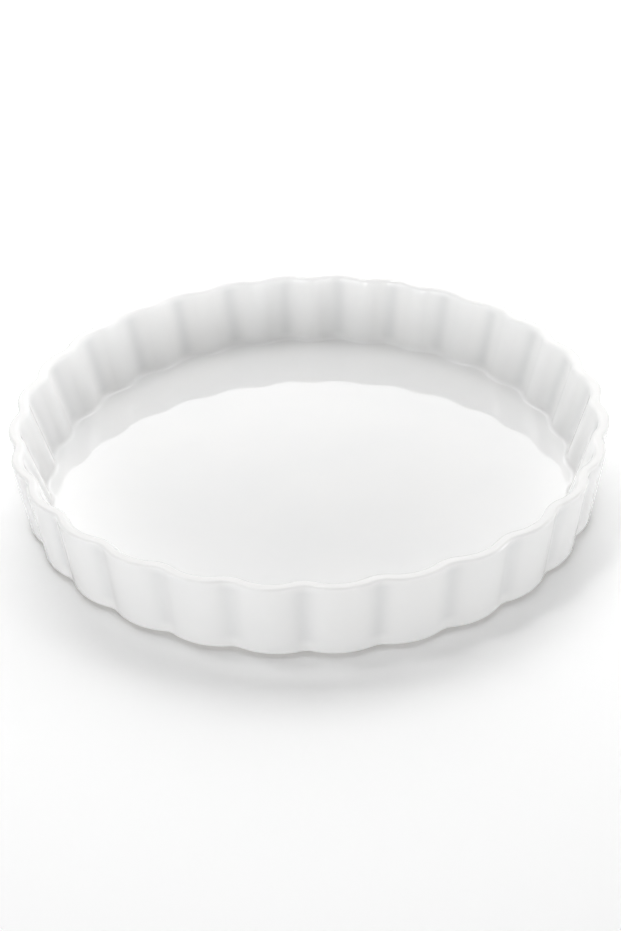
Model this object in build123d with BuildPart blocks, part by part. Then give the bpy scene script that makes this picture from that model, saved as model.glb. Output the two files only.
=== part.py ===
from build123d import *
from math import cos, pi, tan
import os

# A fluted quiche dish, in millimetres. The origin is the middle of the standing face, with +Z up,
# and the tip of one lobe lies on +X. All sizes of the dish are taken over the glaze.

# Flutes, each a broad lobe and a tighter groove. The radii of the dish go to the tips of the lobes.
# The arcs turn by nearly the same angles at the rim and the foot, which keeps each face nearly a cone.
flute_count = 28
rim_radius = 140.0
foot_radius = 135.2
rim_flute_depth = 2.7
foot_flute_depth = 2.3
rim_groove_radius = 16.0
foot_groove_radius = 18.0

# Wall at the rim. The rim's rounds each take a share of it.
dish_height = 38.5
wall_thickness = 5.0
rim_round_share = 0.44

# Hollow at the floor. It leans out more than the outside, so the wall is almost twice as thick there.
floor_top = 5.0
floor_fillet = 2.5
hollow_radius = 126.3
hollow_flute_depth = 2.5
hollow_groove_radius = 20.5

# Foot ring, which is bare clay, and the recess inside it
foot_ring_width = 7.0
recess_depth = 0.8

# Glaze, which stops on the outside at a line above the table
glaze_thickness = 0.4
glaze_line = 1.6

# Each round that follows the flutes is one flat facet that touches the true arc in its middle. The
# facet starts and ends at this share of the round's radius from the corner. Under the glaze the rim's
# two facets go on to a ridge in the middle of the wall.
facet_share = 1 - tan(pi / 8)

half_pitch = 180 / flute_count
rim_round = wall_thickness * rim_round_share
rim_edge = rim_round * facet_share
rim_ridge = wall_thickness / 2
hollow_flutes = (hollow_radius, hollow_flute_depth, hollow_groove_radius)
recess_radius = foot_radius - foot_flute_depth - foot_ring_width


def outside_flutes(height):
    """Gives the outside's radius at the tips, flute depth and groove radius at a height."""
    share = height / dish_height
    tip = foot_radius + (rim_radius - foot_radius) * share
    depth = foot_flute_depth + (rim_flute_depth - foot_flute_depth) * share
    groove = foot_groove_radius + (rim_groove_radius - foot_groove_radius) * share
    return tip, depth, groove


def fluted_section(height, flutes, inset):
    """Makes the face inside a fluted outline at a height, moved inwards by inset.

    A lobe and a groove meet in a tangent, so the lobe's radius follows from the radius at the tips,
    the flute's depth and the groove's radius.
    """
    tip, depth, groove = flutes
    groove_centre = tip - depth + groove
    chord = groove_centre * cos(pi / flute_count)
    lobe = (tip**2 + groove_centre**2 - 2 * tip * chord - groove**2) / (2 * (tip + groove - chord))
    lobe_centre = Vector(tip - lobe, 0)
    towards_groove = (Vector(groove_centre, 0).rotate(Axis.Z, half_pitch) - lobe_centre).normalized()
    lobe_end = lobe_centre + towards_groove * (lobe - inset)
    lobe_start = Vector(lobe_end.X, -lobe_end.Y)
    lobe_tip = Vector(tip - inset, 0)
    groove_bottom = Vector(tip - depth - inset, 0).rotate(Axis.Z, half_pitch)
    next_start = lobe_start.rotate(Axis.Z, 2 * half_pitch)
    flute = (lobe_start, lobe_tip, lobe_end, groove_bottom, next_start)
    with BuildSketch(Plane.XY.offset(height)) as section:
        with BuildLine():
            for number in range(flute_count):
                turned = [point.rotate(Axis.Z, 2 * half_pitch * number) for point in flute]
                ThreePointArc(*turned[:3])
                ThreePointArc(*turned[2:])
        make_face()
    return section.sketch.face()


def outside(bottom, cover, rim_inset):
    """Makes the wall's outer sections from a height up to the rim, under a cover of glaze."""
    facet = (rim_round - cover) * facet_share
    top = dish_height - cover
    stations = [(bottom, cover), (top - facet, cover), (top, rim_inset)]
    return [fluted_section(height, outside_flutes(height), inset) for height, inset in stations]


def inside(cover, rim_inset):
    """Makes the hollow's sections from the floor up to the rim, under a cover of glaze."""
    fillet = (floor_fillet + cover) * facet_share
    facet = (rim_round - cover) * facet_share
    floor = floor_top - cover
    top = dish_height - cover
    at_floor = [(floor, fillet - cover), (floor + fillet, -cover)]
    at_rim = [(top - facet, wall_thickness - cover), (top, wall_thickness - rim_inset)]
    sections = [fluted_section(height, hollow_flutes, inset) for height, inset in at_floor]
    sections += [fluted_section(height, outside_flutes(height), inset) for height, inset in at_rim]
    return sections


# Fired clay: the fluted wall, the floor and the foot ring are one piece
with BuildPart() as clay_body:
    loft(outside(0, glaze_thickness, rim_ridge), ruled=True)
    loft(inside(glaze_thickness, rim_ridge), ruled=True, mode=Mode.SUBTRACT)
    with BuildSketch(Plane.XY):
        Circle(recess_radius)
    extrude(amount=recess_depth + glaze_thickness, mode=Mode.SUBTRACT)

# Main coat of glaze: over the inside, the rim and the outside, with a hollow where the clay is
with BuildPart() as glaze_coat:
    loft(outside(glaze_line, 0, rim_edge), ruled=True)
    loft(inside(0, rim_edge), ruled=True, mode=Mode.SUBTRACT)
    add(clay_body.part, mode=Mode.SUBTRACT)
    with BuildSketch(Plane.XY):
        Circle(recess_radius)
    extrude(amount=recess_depth + glaze_thickness, mode=Mode.SUBTRACT)

# Coat of glaze on the recess's ceiling. The bare foot ring parts it from the main coat.
with BuildPart() as underside_glaze:
    with BuildSketch(Plane.XY.offset(recess_depth)):
        Circle(recess_radius)
    extrude(amount=glaze_thickness)

os.makedirs("parts", exist_ok=True)
pieces = {"clay_body": clay_body, "glaze_coat": glaze_coat, "underside_glaze": underside_glaze}
for name, piece in pieces.items():
    piece.part.label = name
    export_step(piece.part, f"parts/{name}.step")
    print(name, "volume", round(piece.part.volume))
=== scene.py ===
# %% [markdown]
# # Fluted quiche dish
# A quiche dish is pressed from white clay in one mould, fired, dipped in a clear glaze and fired again.
# So only three things can be told apart on it: the clay, the glaze that covers its inside and outside,
# and the glaze in the recess under its floor. The foot ring between the two is wiped bare.
#
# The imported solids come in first. They give the place and the size of everything that follows, and all
# lengths here are in metres.

from math import atan2, cos, hypot, pi, radians, sin, sqrt

import bmesh
import bpy
from mathutils import Matrix, Vector


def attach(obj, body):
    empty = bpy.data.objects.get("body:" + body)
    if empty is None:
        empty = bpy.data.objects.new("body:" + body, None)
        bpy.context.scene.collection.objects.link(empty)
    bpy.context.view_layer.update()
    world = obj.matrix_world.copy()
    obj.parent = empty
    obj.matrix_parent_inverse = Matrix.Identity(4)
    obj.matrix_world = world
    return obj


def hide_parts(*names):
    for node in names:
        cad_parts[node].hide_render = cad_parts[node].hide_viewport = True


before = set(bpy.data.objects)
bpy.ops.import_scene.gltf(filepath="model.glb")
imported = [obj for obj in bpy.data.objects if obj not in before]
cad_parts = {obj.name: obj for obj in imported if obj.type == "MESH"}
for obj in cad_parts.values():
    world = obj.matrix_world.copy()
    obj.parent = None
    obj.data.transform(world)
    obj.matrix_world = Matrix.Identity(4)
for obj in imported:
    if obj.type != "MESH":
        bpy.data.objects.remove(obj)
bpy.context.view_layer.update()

# %% [markdown]
# ## The wall's outline
# Seen from above, the wall is a ring of 28 flutes. Each is a broad lobe and a tighter groove, two arcs
# that meet in a tangent. The outline could be drawn with curves and lofted, but a spun profile that is
# then moved in or out gives an even net of faces, and the flutes can follow the same formula as the
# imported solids. The flutes get shallower towards the foot, and the hollow leans out more than the
# outside, so the wall is almost twice as thick at the floor as at the rim.

# %% Sizes of the dish, over the glaze
MM = 0.001
FLUTES = 28
PITCH = 2 * pi / FLUTES
HEIGHT = 38.5 * MM
RIM_TIP, FOOT_TIP = 140.0 * MM, 135.2 * MM
RIM_DEPTH, FOOT_DEPTH = 2.85 * MM, 2.4 * MM
RIM_GROOVE, FOOT_GROOVE = 11.0 * MM, 8.5 * MM
WALL = 5.0 * MM
RIM_OUTER_ROUND, RIM_INNER_ROUND = 1.5 * MM, 1.9 * MM
FLOOR = 5.0 * MM
FLOOR_FILLET = 1.9 * MM
HOLLOW_TIP, HOLLOW_DEPTH, HOLLOW_GROOVE = 126.1 * MM, 2.8 * MM, 18.0 * MM
GLAZE = 0.4 * MM
GLAZE_LINE = 1.6 * MM
RECESS_RADIUS = 125.9 * MM
RECESS_DEPTH = 0.8 * MM
print("flutes", FLUTES, "each", round(PITCH * RIM_TIP / MM, 1), "mm wide at the rim")

# %% The outline's radius at an angle


def blend(low, high, share):
    """Numbers between two rows of numbers."""
    return [first + (second - first) * share for first, second in zip(low, high)]


def outside_flutes(height):
    """The tips' radius, the flutes' depth and the groove's radius of the outside at a height."""
    return blend((FOOT_TIP, FOOT_DEPTH, FOOT_GROOVE), (RIM_TIP, RIM_DEPTH, RIM_GROOVE), height / HEIGHT)


def hollow_flutes(height):
    """The same for the hollow, whose wall meets the outside's offset at the rim."""
    share = (height - FLOOR) / (HEIGHT - FLOOR)
    at_rim = (RIM_TIP - WALL, RIM_DEPTH, RIM_GROOVE + WALL)
    return blend((HOLLOW_TIP, HOLLOW_DEPTH, HOLLOW_GROOVE), at_rim, share)


def outline_radius(angle, flutes, inset):
    """How far a fluted outline, moved in by inset, is from the axis in a direction."""
    tip, depth, groove = flutes
    centre = tip - depth + groove
    chord = centre * cos(PITCH / 2)
    lobe = (tip**2 + centre**2 - 2 * tip * chord - groove**2) / (2 * (tip + groove - chord))
    lobe_centre = tip - lobe
    half_angle = atan2(centre * sin(PITCH / 2), chord - lobe_centre)
    from_lobe = abs((angle + PITCH / 2) % PITCH - PITCH / 2)
    radius = lobe - inset
    arc_end = atan2(radius * sin(half_angle), lobe_centre + radius * cos(half_angle))
    if from_lobe <= arc_end:
        return lobe_centre * cos(from_lobe) + sqrt(radius**2 - (lobe_centre * sin(from_lobe)) ** 2)
    from_groove = PITCH / 2 - from_lobe
    hollow = groove + inset
    return centre * cos(from_groove) - sqrt(hollow**2 - (centre * sin(from_groove)) ** 2)


rim_radii = [outline_radius(angle, outside_flutes(HEIGHT), 0) / MM for angle in (0, PITCH / 2)]
print("rim radius from", round(rim_radii[1], 2), "to", round(rim_radii[0], 2), "mm")

# %% [markdown]
# ## Spinning a profile into a fluted ring
# A potter's profile is half a section of the dish. Here it is a chain of a few corners in the XZ plane.
# Vertex bevels round those corners, and spin turns the chain round the axis. Last, each vertex is moved
# straight in or out onto the outline of the outside or of the hollow. Near the middle of the floor that
# movement fades away, so the floor stays even, and the recess underneath stays round. Deep inside the
# clay the flutes would fold over, so from a certain inset on they keep their shape.

# %% Helpers for profiles, spins and finished pieces
SPIN_STEPS = FLUTES * 24
MERGE_DISTANCE = 0.001 * MM
FADE_START, FADE_END = 60 * MM, 118 * MM
DEEPEST_FLUTES = 8 * MM
FOOT_RING = 7 * MM


def fluted_radius(angle, radius, height):
    """Where a point of the unfluted profile goes: its distance from the axis after fluting."""
    in_recess = height < GLAZE_LINE and radius < FOOT_TIP - FOOT_RING
    if radius < FADE_START or in_recess:
        return radius
    hollow = hollow_flutes(height)
    in_hollow = height > GLAZE_LINE and radius < hollow[0] + WALL / 2
    flutes = hollow if in_hollow else outside_flutes(height)
    inset = flutes[0] - radius
    target = outline_radius(angle, flutes, min(inset, DEEPEST_FLUTES)) - max(0.0, inset - DEEPEST_FLUTES)
    reach = min(1.0, (radius - FADE_START) / (FADE_END - FADE_START))
    strength = reach * reach * (3 - 2 * reach)
    return radius + strength * (target - radius)


def add_profile(bm, corners):
    """Chains corners, given as (radius, height, round, segments), into a rounded profile."""
    points = [bm.verts.new((radius, 0, height)) for radius, height, _, _ in corners]
    for first, second in zip(points, points[1:]):
        bm.edges.new((first, second))
    for point, (_, _, rounding, segments) in zip(points, corners):
        if rounding:
            bmesh.ops.bevel(bm, geom=[point], offset=rounding, offset_type="OFFSET", affect="VERTICES",
                            segments=segments, profile=0.5, material=-1)


def spin_and_flute(name, corners):
    """Makes a named piece from a profile: spins it, then moves it onto the fluted outline."""
    bm = bmesh.new()
    add_profile(bm, corners)
    bmesh.ops.spin(bm, geom=bm.verts[:] + bm.edges[:], cent=(0, 0, 0), axis=(0, 0, 1), dvec=(0, 0, 0),
                   angle=2 * pi, steps=SPIN_STEPS, use_merge=True)
    bmesh.ops.remove_doubles(bm, verts=bm.verts[:], dist=MERGE_DISTANCE)
    for vert in bm.verts:
        angle = atan2(vert.co.y, vert.co.x)
        fluted = fluted_radius(angle, hypot(vert.co.x, vert.co.y), vert.co.z)
        vert.co.x, vert.co.y = fluted * cos(angle), fluted * sin(angle)
    bmesh.ops.recalc_face_normals(bm, faces=bm.faces[:])
    for face in bm.faces:
        face.smooth = True
    mesh = bpy.data.meshes.new(name)
    bm.to_mesh(mesh)
    bm.free()
    piece = bpy.data.objects.new(name, mesh)
    bpy.context.scene.collection.objects.link(piece)
    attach(piece, "root")
    print(name, "faces", len(mesh.polygons))
    return piece


# %% [markdown]
# ## The main coat of glaze
# The glaze is a skin of glass about 0.4 mm thick. Its profile runs from the middle of the floor up the
# inside, over the rim, down the outside to the line where the foot was wiped, and back along the clay.
# The rim is nearly a full round, and the glaze fills the angle between wall and floor with a soft
# fillet. Corners without a round beside each fillet hold its shading to a narrow band.

# %% Glaze over the inside, the rim and the outside
SHARP = (0, 0)
SMOOTH_STEPS, HIDDEN_STEPS, SMALL_STEPS = 10, 5, 4
SUPPORT = 0.9 * MM
RIM_START = HEIGHT - 2.2 * MM
RIM_MIDDLE = RIM_TIP - WALL / 2
FLOOR_RING = HOLLOW_TIP - 30 * MM
GLAZE_EDGE_ROUND = 0.2 * MM


def outside_at(height, cover=0.0):
    """A profile point's radius and height on the outside, under a cover of glaze."""
    return outside_flutes(height)[0] - cover, height


def hollow_at(height, cover=0.0):
    """A profile point's radius and height on the hollow's wall, under a cover of glaze."""
    return hollow_flutes(height)[0] + cover, height


under_glaze = [
    (0, FLOOR - GLAZE, *SHARP),
    (*hollow_at(FLOOR - GLAZE, GLAZE), FLOOR_FILLET + GLAZE, HIDDEN_STEPS),
    (*hollow_at(RIM_START, GLAZE), *SHARP),
    (RIM_MIDDLE, HEIGHT - GLAZE, *SHARP),
    (*outside_at(RIM_START, GLAZE), *SHARP),
    (*outside_at(GLAZE_LINE, GLAZE), *SHARP),
]
coat = spin_and_flute("glaze_skin", [
    (0, FLOOR, *SHARP),
    (FLOOR_RING, FLOOR, *SHARP),
    (HOLLOW_TIP - FLOOR_FILLET - SUPPORT, FLOOR, *SHARP),
    (*hollow_at(FLOOR), FLOOR_FILLET, SMOOTH_STEPS),
    (*hollow_at(FLOOR + FLOOR_FILLET + SUPPORT), *SHARP),
    (*hollow_at(RIM_START - SUPPORT), *SHARP),
    (*hollow_at(HEIGHT), RIM_INNER_ROUND, SMOOTH_STEPS),
    (*outside_at(HEIGHT), RIM_OUTER_ROUND, SMOOTH_STEPS),
    (*outside_at(RIM_START - SUPPORT), *SHARP),
    (*outside_at(GLAZE_LINE + SUPPORT), *SHARP),
    (*outside_at(GLAZE_LINE), GLAZE_EDGE_ROUND, SMALL_STEPS),
    *reversed(under_glaze),
])
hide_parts("glaze_coat")

# %% [markdown]
# ## The clay
# The fired clay shows only at the foot ring, where the glaze was wiped away so that the dish wouldn't
# stick to the kiln shelf. Its edge is rounded and tucked in by the same wet sponge, which leaves a thin
# dark gap above the table. Above that it follows the inner side of the glaze, face to face.

# %% Clay body with its rounded foot ring
FOOT_TUCK, FOOT_EDGE_ROUND = 2.0 * MM, 0.6 * MM
BEND_HEIGHT, BEND_TUCK, BEND_ROUND = 0.9 * MM, 0.6 * MM, 0.5 * MM
RECESS_ROUND = 0.4 * MM
RECESS_CEILING = RECESS_DEPTH + GLAZE
clay = spin_and_flute("clay_with_foot", [
    *under_glaze,
    (*outside_at(BEND_HEIGHT, GLAZE + BEND_TUCK), BEND_ROUND, HIDDEN_STEPS),
    (*outside_at(0, GLAZE + FOOT_TUCK), FOOT_EDGE_ROUND, HIDDEN_STEPS),
    (RECESS_RADIUS, 0, RECESS_ROUND, SMALL_STEPS),
    (RECESS_RADIUS, RECESS_CEILING, *SHARP),
    (0, RECESS_CEILING, *SHARP),
])
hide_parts("clay_body")

# %% [markdown]
# ## Effects that the finishes share
# A fired surface is never quite even. Its tone drifts over a few centimetres, and its skin carries long
# flat waves and a finer orange peel, drawn out downwards where the glaze ran before it set. The photograph
# shows this as reflections with slightly wavy edges. Each effect is made once, as a node group that reads
# the piece's own coordinates, and each finish places it with values of its own.

# %% Helpers for node groups


def start_group(name, inputs, outputs):
    """A shader node group whose inputs are given as name: (socket kind, value), outputs as name: kind."""
    group = bpy.data.node_groups.new(name, "ShaderNodeTree")
    for label, (kind, value) in inputs.items():
        socket = group.interface.new_socket(label, in_out="INPUT", socket_type=kind)
        socket.default_value = value
    for label, kind in outputs.items():
        group.interface.new_socket(label, in_out="OUTPUT", socket_type=kind)
    return group, group.nodes.new("NodeGroupInput"), group.nodes.new("NodeGroupOutput")


def fill(tree, socket, value):
    """Gives an input a socket's output or a plain value."""
    if isinstance(value, bpy.types.NodeSocket):
        tree.links.new(value, socket)
    else:
        socket.default_value = value


def add_math(tree, operation, first, second):
    """A math node's result from two inputs that are sockets or numbers."""
    node = tree.nodes.new("ShaderNodeMath")
    node.operation = operation
    fill(tree, node.inputs[0], first)
    fill(tree, node.inputs[1], second)
    return node.outputs[0]


def add_product(tree, first, *others):
    """The product of sockets and numbers."""
    for other in others:
        first = add_math(tree, "MULTIPLY", first, other)
    return first


def add_range(tree, value, low, high, to_low, to_high):
    """A value carried from one range to another and held at its ends."""
    node = tree.nodes.new("ShaderNodeMapRange")
    for label, number in zip(("From Min", "From Max", "To Min", "To Max"), (low, high, to_low, to_high)):
        node.inputs[label].default_value = number
    tree.links.new(value, node.inputs["Value"])
    return node.outputs["Result"]


def add_noise(tree, scale, place, detail):
    """A noise between zero and one."""
    noise = tree.nodes.new("ShaderNodeTexNoise")
    for label, value in (("Scale", scale), ("Vector", place), ("Detail", detail)):
        fill(tree, noise.inputs[label], value)
    return noise.outputs["Fac"]


def mix_colours(tree, factor, first, second):
    """Mixes two colours, each a socket or a plain colour, by a factor socket."""
    node = tree.nodes.new("ShaderNodeMix")
    node.data_type = "RGBA"
    for label, value in (("Factor", factor), ("A", first), ("B", second)):
        fill(tree, node.inputs[label], value)
    return node.outputs["Result"]


def own_place(tree, kind="Object"):
    """A point in the piece's own coordinates, or in the world a direction, and its three axes."""
    place = tree.nodes.new("ShaderNodeTexCoord").outputs[kind]
    split = tree.nodes.new("ShaderNodeSeparateXYZ")
    tree.links.new(place, split.inputs["Vector"])
    return place, split.outputs


# %% Drifting tone
FLOAT, COLOUR = "NodeSocketFloat", "NodeSocketColor"
CLOUD_LOW, CLOUD_HIGH = 0.35, 0.65
tone_group, given, result = start_group(
    "drifting_tone",
    {"Patches per metre": (FLOAT, 25.0), "Light Tone": (COLOUR, (0.9, 0.9, 0.9, 1)),
     "Dark Tone": (COLOUR, (0.8, 0.8, 0.8, 1))},
    {"Color": COLOUR, "Drift": FLOAT})
place, _ = own_place(tone_group)
cloud = add_noise(tone_group, given.outputs["Patches per metre"], place, 3.0)
drift = add_range(tone_group, cloud, CLOUD_LOW, CLOUD_HIGH, 0.0, 1.0)
drifted = mix_colours(tone_group, drift, given.outputs["Dark Tone"], given.outputs["Light Tone"])
tone_group.links.new(drifted, result.inputs["Color"])
tone_group.links.new(drift, result.inputs["Drift"])
print("group", tone_group.name, "nodes", len(tone_group.nodes))

# %% Waves and orange peel of a fired skin
RUN_DOWNWARDS = (1.0, 1.0, 0.3)
skin_group, given, result = start_group(
    "fired_skin",
    {"Waves per metre": (FLOAT, 60.0), "Wave Height": (FLOAT, 0.015),
     "Grains per metre": (FLOAT, 500.0), "Grain Height": (FLOAT, 0.001)},
    {"Height": FLOAT})
place, _ = own_place(skin_group)
drawn_out = skin_group.nodes.new("ShaderNodeMapping")
drawn_out.inputs["Scale"].default_value = RUN_DOWNWARDS
skin_group.links.new(place, drawn_out.inputs["Vector"])
waves = add_noise(skin_group, given.outputs["Waves per metre"], drawn_out.outputs["Vector"], 1.0)
grains = add_noise(skin_group, given.outputs["Grains per metre"], place, 2.0)
skin_height = add_math(skin_group, "ADD", add_product(skin_group, waves, given.outputs["Wave Height"]),
                       add_product(skin_group, grains, given.outputs["Grain Height"]))
skin_group.links.new(skin_height, result.inputs["Height"])
print("group", skin_group.name, "nodes", len(skin_group.nodes))

# %% [markdown]
# ## Painted shade in the hollows of the flutes
# The hollow side of each flute gets a slightly darker colour: the grooves on the outside, and the lobes'
# inner side in the hollow.
# This is painted shade, standing in for the shade that falls in these hollows. The mask could be painted
# on the mesh, but a cosine of the angle round the axis follows the 28 flutes exactly and needs no data on
# the mesh.

# %% Painted shade, where the wall is hollow
SHADE_SHARPNESS = 6.0
# This group's mask marks where painted shade darkens the hollow side of each flute.
flute_shade_group, given, result = start_group(
    "painted_flute_shade",
    {"Flutes": (FLOAT, 28.0), "Middle Radius": (FLOAT, 0.134), "Outside Share": (FLOAT, 0.5),
     "Inside Share": (FLOAT, 1.0)},
    {"Mask": FLOAT})
place, axes = own_place(flute_shade_group)
azimuth = add_math(flute_shade_group, "ARCTAN2", axes["Y"], axes["X"])
wave = add_math(flute_shade_group, "COSINE", add_product(flute_shade_group, azimuth, given.outputs["Flutes"]), 0.0)
at_tip = add_math(flute_shade_group, "POWER", add_range(flute_shade_group, wave, -1.0, 1.0, 0.0, 1.0), SHADE_SHARPNESS)
at_groove = add_math(flute_shade_group, "POWER", add_range(flute_shade_group, wave, -1.0, 1.0, 1.0, 0.0), SHADE_SHARPNESS)
flattened = flute_shade_group.nodes.new("ShaderNodeVectorMath")
flattened.operation = "MULTIPLY"
flattened.inputs[1].default_value = (1.0, 1.0, 0.0)
flute_shade_group.links.new(place, flattened.inputs[0])
distance = flute_shade_group.nodes.new("ShaderNodeVectorMath")
distance.operation = "LENGTH"
flute_shade_group.links.new(flattened.outputs["Vector"], distance.inputs[0])
outside = add_math(flute_shade_group, "GREATER_THAN", distance.outputs["Value"], given.outputs["Middle Radius"])
inside = add_math(flute_shade_group, "SUBTRACT", 1.0, outside)
outer_shade = add_product(flute_shade_group, at_groove, outside, given.outputs["Outside Share"])
inner_shade = add_product(flute_shade_group, at_tip, inside, given.outputs["Inside Share"])
flute_shade_group.links.new(add_math(flute_shade_group, "ADD", outer_shade, inner_shade), result.inputs["Mask"])
print("group", flute_shade_group.name, "nodes", len(flute_shade_group.nodes))

# %% Pinholes, where gas left the glaze
pit_group, given, result = start_group(
    "pinholes", {"Cells per metre": (FLOAT, 90.0), "Pit Size": (FLOAT, 0.03), "Share Empty": (FLOAT, 0.8)},
    {"Mask": FLOAT})
place, _ = own_place(pit_group)
cells = pit_group.nodes.new("ShaderNodeTexVoronoi")
pit_group.links.new(place, cells.inputs["Vector"])
pit_group.links.new(given.outputs["Cells per metre"], cells.inputs["Scale"])
in_pit = add_math(pit_group, "LESS_THAN", cells.outputs["Distance"], given.outputs["Pit Size"])
chance = pit_group.nodes.new("ShaderNodeSeparateColor")
pit_group.links.new(cells.outputs["Color"], chance.inputs["Color"])
chosen = add_math(pit_group, "GREATER_THAN", chance.outputs["Red"], given.outputs["Share Empty"])
pit_group.links.new(add_product(pit_group, in_pit, chosen), result.inputs["Mask"])
print("group", pit_group.name, "nodes", len(pit_group.nodes))

# %% [markdown]
# ## The glaze and the bare clay
# The glaze is a clear glass over white clay, which looks like one glossy white surface. It is nearly
# smooth, darkened by painted shade in the flutes' hollows, and a little warmer where it ran thin over the
# rim. It could be a coat over a clay shader, but a dielectric with a white base gives the same look and is
# simpler to carry elsewhere.
# The clay at the foot is matt and slightly warm, with the grain of fired clay and grey scuffs.

# %% Helpers for materials


def new_material(name):
    """A material with its node tree and its Principled shader."""
    material = bpy.data.materials.new(name)
    material.use_nodes = True
    return material, material.node_tree, material.node_tree.nodes["Principled BSDF"]


def place_group(tree, group, values):
    """Places a node group in a material with its own values, and gives its outputs."""
    node = tree.nodes.new("ShaderNodeGroup")
    node.node_tree = group
    for label, value in values.items():
        fill(tree, node.inputs[label], value)
    return node.outputs


def add_bump(tree, shader, height):
    """Lets a height in millimetres bend the shader's normal."""
    bump = tree.nodes.new("ShaderNodeBump")
    bump.inputs["Strength"].default_value = 1.0
    bump.inputs["Distance"].default_value = MM
    tree.links.new(height, bump.inputs["Height"])
    tree.links.new(bump.outputs["Normal"], shader.inputs["Normal"])


# %% White glaze
# The first tone is painted shade, which darkens the hollow side of each flute.
PAINTED_SHADE_TONE = (0.776, 0.780, 0.780, 1)
THIN_TONE = (0.868, 0.858, 0.838, 1)
PIT_TONE = (0.5, 0.47, 0.43, 1)
THIN_SHARE, PIT_SHARE = 0.35, 0.5
DARK_ROUGHNESS, LIGHT_ROUGHNESS = 0.05, 0.025
WALL_MIDDLE_LOW, WALL_MIDDLE_HIGH = 129.8 * MM, 136.1 * MM
glaze_material, tree, shader = new_material("white_glaze_gloss")
tone = place_group(tree, tone_group, {"Patches per metre": 22.0, "Light Tone": (0.872, 0.871, 0.866, 1),
                                      "Dark Tone": (0.856, 0.858, 0.856, 1)})
skin = place_group(tree, skin_group, {"Waves per metre": 55.0, "Wave Height": 0.03,
                                      "Grains per metre": 450.0, "Grain Height": 0.0012})
pits = place_group(tree, pit_group, {"Cells per metre": 70.0, "Pit Size": 0.018, "Share Empty": 0.9})
_, axes = own_place(tree)
height = axes["Z"]
wall_middle = add_range(tree, height, FLOOR, HEIGHT, WALL_MIDDLE_LOW, WALL_MIDDLE_HIGH)
flute_shade = place_group(tree, flute_shade_group, {"Flutes": FLUTES, "Middle Radius": wall_middle,
                                      "Outside Share": 0.8, "Inside Share": 1.0})
above_floor = add_range(tree, height, FLOOR + 0.5 * MM, FLOOR + 4 * MM, 0.0, 1.0)
below_rim = add_range(tree, height, HEIGHT - 4 * MM, HEIGHT - 1 * MM, 1.0, 0.0)
over_rim = add_range(tree, height, HEIGHT - 1.2 * MM, HEIGHT, 0.0, THIN_SHARE)
# Painted shade: the hollow side of each flute is darkened, and this fades out near the floor and near the
# rim.
shade_mask = add_product(tree, flute_shade["Mask"], above_floor, below_rim)
with_painted_shade = mix_colours(tree, shade_mask, tone["Color"], PAINTED_SHADE_TONE)
thinned = mix_colours(tree, over_rim, with_painted_shade, THIN_TONE)
pitted = mix_colours(tree, add_product(tree, pits["Mask"], PIT_SHARE), thinned, PIT_TONE)
tree.links.new(pitted, shader.inputs["Base Color"])
roughness = add_range(tree, tone["Drift"], 0.0, 1.0, DARK_ROUGHNESS, LIGHT_ROUGHNESS)
tree.links.new(roughness, shader.inputs["Roughness"])
shader.inputs["IOR"].default_value = 1.5
add_bump(tree, shader, skin["Height"])
print("material", glaze_material.name, "nodes", len(tree.nodes))

# %% Bare clay
SCUFF_TONE = (0.52, 0.50, 0.47, 1)
SCUFF_SHARE = 0.5
DARK_ROUGHNESS, LIGHT_ROUGHNESS = 0.86, 0.7
clay_material, tree, shader = new_material("fired_clay_matt")
tone = place_group(tree, tone_group, {"Patches per metre": 90.0, "Light Tone": (0.79, 0.775, 0.745, 1),
                                      "Dark Tone": (0.72, 0.705, 0.675, 1)})
scuffs = place_group(tree, pit_group, {"Cells per metre": 260.0, "Pit Size": 0.22, "Share Empty": 0.86})
skin = place_group(tree, skin_group, {"Waves per metre": 300.0, "Wave Height": 0.02,
                                      "Grains per metre": 2600.0, "Grain Height": 0.03})
scuffed = mix_colours(tree, add_product(tree, scuffs["Mask"], SCUFF_SHARE), tone["Color"], SCUFF_TONE)
tree.links.new(scuffed, shader.inputs["Base Color"])
roughness = add_range(tree, tone["Drift"], 0.0, 1.0, DARK_ROUGHNESS, LIGHT_ROUGHNESS)
tree.links.new(roughness, shader.inputs["Roughness"])
add_bump(tree, shader, skin["Height"])
print("material", clay_material.name, "nodes", len(tree.nodes))

# %% Dress the pieces
coat.data.materials.append(glaze_material)
clay.data.materials.append(clay_material)
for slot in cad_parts["underside_glaze"].material_slots:
    slot.material = glaze_material
print("materials", [material.name for material in bpy.data.materials])

# %% [markdown]
# ## Floor and surroundings
# The dish stands on white paper. To the light that bounces, the paper is a mid grey, so that the wall
# keeps its shading. To the rays that see it, themselves or in the glaze, it is white. The world is white
# to those rays too. Otherwise it is a low band of light like a room's pale walls, stronger on the
# camera's side, and the boxes below do the rest.

# %% White paper floor
BOUNCE_TONE, SEEN_TONE = (0.5, 0.5, 0.5, 1), (1.2, 1.2, 1.2, 1)
PAPER_RADIUS, PAPER_CORNERS = 1.1, 96
PAPER_DROP = 0.2 * MM


def seen_rays(tree):
    """One for the rays that see a surface themselves, or in a mirror or through glass, else zero."""
    rays = tree.nodes.new("ShaderNodeLightPath").outputs
    seen = add_math(tree, "MAXIMUM", rays["Is Camera Ray"], rays["Is Glossy Ray"])
    return add_math(tree, "MAXIMUM", seen, rays["Is Transmission Ray"])


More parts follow.
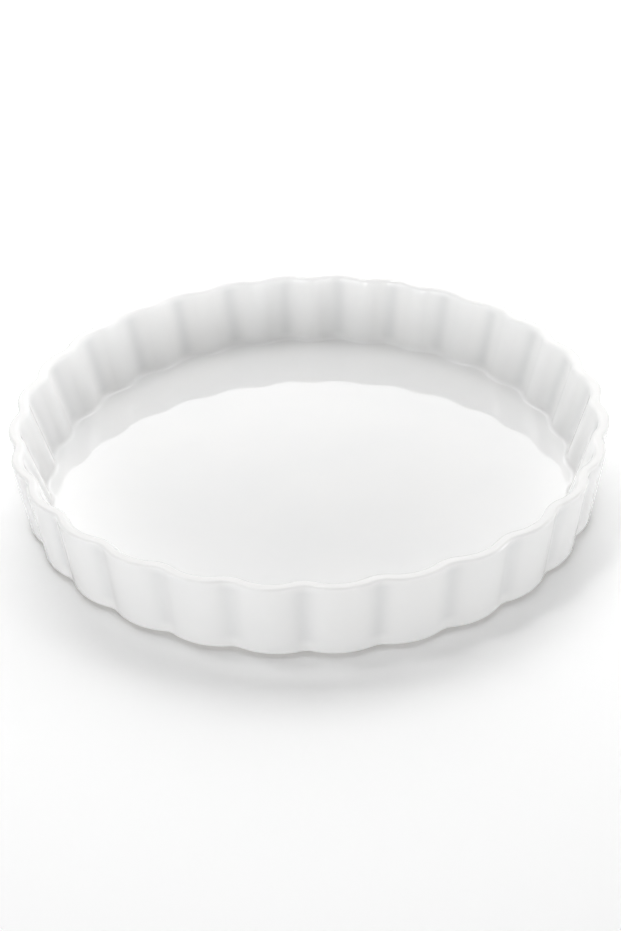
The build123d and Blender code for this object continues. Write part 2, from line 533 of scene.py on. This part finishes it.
bpy.ops.mesh.primitive_circle_add(vertices=PAPER_CORNERS, radius=PAPER_RADIUS, fill_type="NGON",
                                  location=(0, 0, -PAPER_DROP))
floor = bpy.context.object
floor.name = "white_floor"
floor_material, tree, shader = new_material("white_paper_floor")
shader.inputs["Roughness"].default_value = 0.9
shader.inputs["Specular IOR Level"].default_value = 0.0
tree.links.new(mix_colours(tree, seen_rays(tree), BOUNCE_TONE, SEEN_TONE), shader.inputs["Base Color"])
floor.data.materials.append(floor_material)
print("paper", round(2 * PAPER_RADIUS, 1), "m across,", PAPER_DROP / MM, "mm under the foot")

# %% White surroundings
HORIZON_GLOW = 3.5
BACK_SHARE, BELOW_SHARE = 0.3, 0.15
# Where the glow and each share of it fade, in a direction's Z, Y and Z
GLOW_FADE, BACK_FADE, BELOW_FADE = (0.08, 0.28), (-0.2, 0.5), (-0.04, 0.0)
world = bpy.data.worlds.new("white_room")
bpy.context.scene.world = world
world.use_nodes = True
tree = world.node_tree
_, axes = own_place(tree, "Generated")
low_band = add_range(tree, axes["Z"], *GLOW_FADE, HORIZON_GLOW, 0.0)
to_the_back = add_range(tree, axes["Y"], *BACK_FADE, 1.0, BACK_SHARE)
over_floor = add_range(tree, axes["Z"], *BELOW_FADE, BELOW_SHARE, 1.0)
strength = tree.nodes.new("ShaderNodeMix")
for label, value in (("Factor", seen_rays(tree)), ("B", 1.0),
                     ("A", add_product(tree, low_band, to_the_back, over_floor))):
    fill(tree, strength.inputs[label], value)
background = tree.nodes["Background"]
background.inputs["Color"].default_value = (1, 1, 1, 1)
tree.links.new(strength.outputs["Result"], background.inputs["Strength"])
print("world", world.name, "nodes", len(tree.nodes))

# %% [markdown]
# ## Soft boxes
# Low boxes at the left and the right brush along the wall and bring out its flutes. A wide box behind the
# dish is mirrored in its floor, and the far wall's mirror image stands dark against it. A high box lights
# the dish's floor, and a small one above gives the rim and the fillet their glints. All are given from
# the camera's point of view and turned with it, so a lobe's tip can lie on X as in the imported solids.

# %% Boxes round the dish
SCENE_TURN = radians(-4.87)
BOX_AIM = Vector((0, 0, 20 * MM))
BOXES = (
    # name, azimuth, elevation, distance, width, height, radiance. Azimuth -90 is the camera's side.
    ("left_low_box", -150, 10, 1.3, 0.5, 0.35, 2.8),
    ("left_box", -150, 20, 1.3, 0.5, 0.5, 1.3),
    ("front_left_box", -120, 12, 1.3, 0.5, 0.35, 4.1),
    ("front_right_box", -68, 12, 1.3, 0.5, 0.35, 2.6),
    ("right_low_box", -3, 10, 1.3, 0.5, 0.35, 7.2),
    ("right_back_box", 30, 25, 1.4, 0.7, 0.7, 1.2),
    ("back_box", 92, 35, 1.4, 1.5, 0.7, 2.0),
    ("top_back_box", 90, 62, 1.3, 1.3, 0.6, 3.7),
    ("small_top_box", 180, 74, 1.3, 0.22, 0.22, 13.0),
)


def turned(x, y, z):
    """A point or direction given with the camera on the minus Y side, turned with the scene."""
    return Matrix.Rotation(SCENE_TURN, 3, "Z") @ Vector((x, y, z))


def add_soft_box(name, azimuth, elevation, distance, width, height, radiance):
    """A soft box aimed at the dish."""
    around, above = radians(azimuth), radians(elevation)
    level = distance * cos(above)
    place = turned(level * cos(around), level * sin(around), distance * sin(above))
    light = bpy.data.lights.new(name, "AREA")
    light.shape = "RECTANGLE"
    light.size, light.size_y = width, height
    light.energy = radiance * pi * width * height
    box = bpy.data.objects.new(name, light)
    box.location = place
    box.rotation_euler = (BOX_AIM - place).to_track_quat("-Z", "Y").to_euler()
    bpy.context.scene.collection.objects.link(box)


for box in BOXES:
    add_soft_box(*box)
print("soft boxes", len(BOXES))

# %% [markdown]
# ## Camera
# The photograph was taken with a long lens from about 34 degrees above the table, 0.7 m from the dish,
# with a slight roll. These values come from a fit to the rim, the foot and the flutes.

# %% Camera at the photograph's place
FOCAL_PIXELS, PICTURE_PIXELS, SENSOR = 1520.2, 931, 36.0
CAMERA_PLACE = (0.000218, -0.61029, 0.41142)
CAMERA_FORWARD = (0, 0.83202, -0.55475)
ROLL = radians(-1.78)
camera_data = bpy.data.cameras.new("photo_camera")
camera_data.sensor_width = SENSOR
camera_data.lens = FOCAL_PIXELS * SENSOR / PICTURE_PIXELS
camera = bpy.data.objects.new("photo_camera", camera_data)
bpy.context.scene.collection.objects.link(camera)
bpy.context.scene.camera = camera
forward, level_right = turned(*CAMERA_FORWARD), turned(1, 0, 0)
level_up = level_right.cross(forward)
right = cos(ROLL) * level_right + sin(ROLL) * level_up
up = -sin(ROLL) * level_right + cos(ROLL) * level_up
rotation = Matrix((right, up, -forward)).transposed().to_4x4()
camera.matrix_world = Matrix.Translation(turned(*CAMERA_PLACE)) @ rotation
bpy.context.scene.view_settings.view_transform = "Standard"
camera_place = [round(value, 3) for value in camera.matrix_world.translation]
print("camera", camera_place, "lens", round(camera_data.lens, 1))
